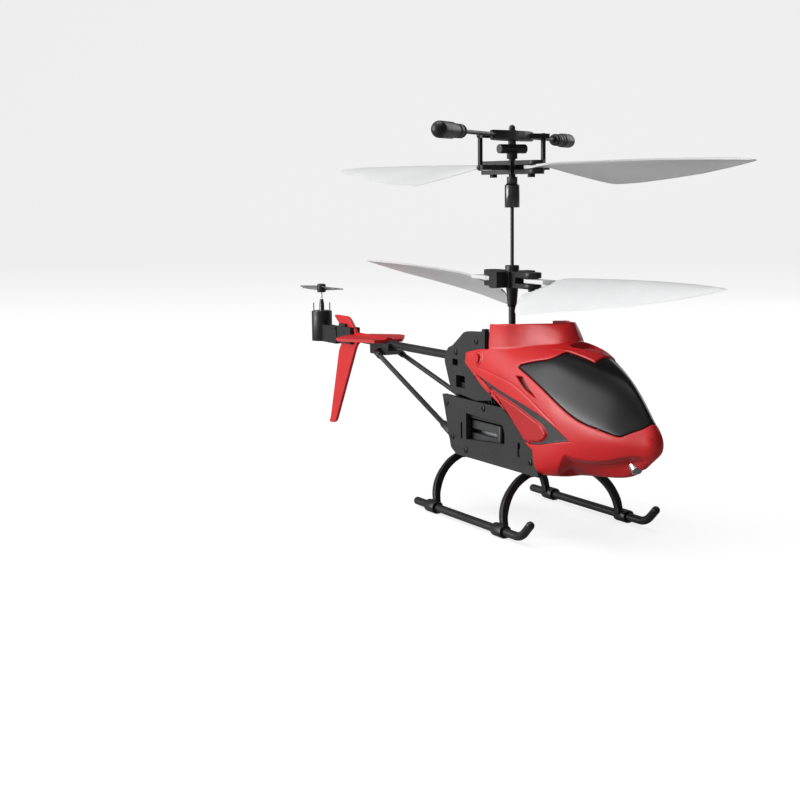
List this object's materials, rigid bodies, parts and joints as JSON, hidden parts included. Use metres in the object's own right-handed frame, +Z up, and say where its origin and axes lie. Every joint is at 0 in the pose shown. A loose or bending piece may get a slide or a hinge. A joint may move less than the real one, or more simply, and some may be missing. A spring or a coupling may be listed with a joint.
{
  "type": "toy helicopter",
  "caption": "Palm-size coaxial toy helicopter: glossy canopy and windshield, counter-rotating folding blades, rocking flybar with pushrods, tail boom with propeller, skids",
  "frame": {"origin": "Middle of the bounding box in X and Y, on the ground plane under the skids", "axes": "+Z up along the mast, the nose points towards -Y and the tail towards +Y, the helicopter's right side is -X"},
  "size_m": [0.0962, 0.2388, 0.1108],
  "materials": {
    "black_plastic": "satin moulded",
    "plate_black": "fine matte sheet",
    "dark_screw": "blackened",
    "grey_plastic": "matte moulded",
    "battery_wrap": "foil pouch",
    "board_green": "solder mask",
    "switch_metal": "pressed sheet",
    "motor_steel": "plated can",
    "motor_dark": "dark can",
    "canopy_red": "glossy",
    "windshield_black": "high gloss",
    "lamp_clear": "clear",
    "boom_black": "satin black tube",
    "shaft_steel": "ground",
    "gear_black": "nylon",
    "blade_clear": "frosted",
    "pinion_brass": "cut",
    "propeller_grey": "satin moulded",
    "bearing_brass": "sintered"
  },
  "bodies": {
    "airframe": {"gearbox_frame": "black_plastic", "shaft_bearings": "bearing_brass", "upper_plate_right": "plate_black", "upper_plate_left": "plate_black", "lower_plate_right": "plate_black", "lower_plate_left": "plate_black", "plate_screws": "dark_screw", "battery_tray": "grey_plastic", "battery": "battery_wrap", "circuit_board": "board_green", "power_switch_body": "switch_metal", "front_motor": "motor_steel", "rear_motor": "motor_steel", "canopy": "canopy_red", "canopy_pegs": "canopy_red", "windshield": "windshield_black", "nose_lamp": "lamp_clear", "tail_boom": "boom_black", "strut_clamp": "black_plastic", "boom_strut_right": "black_plastic", "boom_strut_left": "black_plastic", "stabiliser": "canopy_red", "fin": "canopy_red", "tail_motor_holder": "black_plastic", "tail_motor": "motor_dark", "front_arch": "black_plastic", "rear_arch": "black_plastic", "skid_tube_right": "boom_black", "skid_tube_left": "boom_black"},
    "switch_knob": {"power_switch_knob": "black_plastic"},
    "upper_rotor": {"inner_shaft": "shaft_steel", "inner_shaft_gear": "gear_black", "shaft_collar": "shaft_steel", "head_post": "black_plastic", "feathering_pin": "shaft_steel", "flybar_pin": "shaft_steel"},
    "grips": {"blade_grips": "black_plastic", "grip_screws": "dark_screw"},
    "upper_front_blade": {"upper_blade_front": "blade_clear"},
    "upper_rear_blade": {"upper_blade_rear": "blade_clear"},
    "flybar": {"flybar_ring": "black_plastic", "flybar_rods": "shaft_steel", "flybar_weights": "black_plastic"},
    "right_link": {"pushrod_right": "black_plastic"},
    "left_link": {"pushrod_left": "black_plastic"},
    "lower_rotor": {"outer_shaft": "shaft_steel", "outer_shaft_gear": "gear_black", "lower_hub": "black_plastic", "lower_hub_screws": "dark_screw"},
    "lower_front_blade": {"lower_blade_front": "blade_clear"},
    "lower_rear_blade": {"lower_blade_rear": "blade_clear"},
    "front_drive": {"front_pinion": "pinion_brass", "front_motor_shaft": "shaft_steel"},
    "rear_drive": {"rear_pinion": "pinion_brass", "rear_motor_shaft": "shaft_steel"},
    "tail_rotor": {"tail_motor_shaft": "shaft_steel", "tail_propeller": "propeller_grey"}
  },
  "joints": [
    {"name": "upper_rotor_spin", "type": "hinge", "parent": "airframe", "child": "upper_rotor", "pos_m": [0, -0.0244, 0.06], "axis": [0, 0, 1], "continuous": true},
    {"name": "lower_rotor_spin", "type": "hinge", "parent": "airframe", "child": "lower_rotor", "pos_m": [0, -0.0244, 0.06], "axis": [0, 0, 1], "continuous": true},
    {"name": "rear_drive_spin", "type": "hinge", "parent": "airframe", "child": "rear_drive", "pos_m": [0, -0.01369, 0.037], "axis": [0, 0, 1], "continuous": true},
    {"name": "front_drive_spin", "type": "hinge", "parent": "airframe", "child": "front_drive", "pos_m": [0, -0.03511, 0.037], "axis": [0, 0, 1], "continuous": true},
    {"name": "tail_rotor_spin", "type": "hinge", "parent": "airframe", "child": "tail_rotor", "pos_m": [0, 0.1066, 0.05], "axis": [0, 0, 1], "continuous": true},
    {"name": "flybar_rock", "type": "hinge", "parent": "upper_rotor", "child": "flybar", "pos_m": [0, -0.0244, 0.1077], "axis": [0.0872, -0.9962, 0], "range_deg": [-12, 12]},
    {"name": "grip_feather", "type": "hinge", "parent": "upper_rotor", "child": "grips", "pos_m": [0, -0.0244, 0.0989], "axis": [0.0872, -0.9962, 0], "range_deg": [-12, 12]},
    {"name": "right_link_tilt", "type": "hinge", "parent": "flybar", "child": "right_link", "pos_m": [-0.01096, -0.02536, 0.1077], "axis": [0.0872, -0.9962, 0], "range_deg": [-12, 12]},
    {"name": "left_link_tilt", "type": "hinge", "parent": "flybar", "child": "left_link", "pos_m": [0.01096, -0.02344, 0.1077], "axis": [0.0872, -0.9962, 0], "range_deg": [-12, 12]},
    {"name": "upper_front_fold", "type": "hinge", "parent": "grips", "child": "upper_front_blade", "pos_m": [0.00078, -0.03337, 0.0989], "axis": [0, 0, 1], "range_deg": [-20, 20]},
    {"name": "upper_rear_fold", "type": "hinge", "parent": "grips", "child": "upper_rear_blade", "pos_m": [-0.00078, -0.01543, 0.0989], "axis": [0, 0, 1], "range_deg": [-20, 20]},
    {"name": "lower_front_fold", "type": "hinge", "parent": "lower_rotor", "child": "lower_front_blade", "pos_m": [0, -0.0348, 0.0674], "axis": [0, 0, 1], "range_deg": [-20, 20]},
    {"name": "lower_rear_fold", "type": "hinge", "parent": "lower_rotor", "child": "lower_rear_blade", "pos_m": [0, -0.014, 0.0674], "axis": [0, 0, 1], "range_deg": [-20, 20]},
    {"name": "power_switch_slide", "type": "slide", "parent": "airframe", "child": "switch_knob", "axis": [0, 0, 1], "range_m": [0, 0.0016]}
  ],
  "couplings": [
    {"joint": "rear_drive_spin", "follows": "upper_rotor_spin", "ratio": -6},
    {"joint": "front_drive_spin", "follows": "lower_rotor_spin", "ratio": -6},
    {"joint": "grip_feather", "follows": "flybar_rock", "ratio": 1},
    {"joint": "right_link_tilt", "follows": "flybar_rock", "ratio": -1},
    {"joint": "left_link_tilt", "follows": "flybar_rock", "ratio": -1}
  ]
}
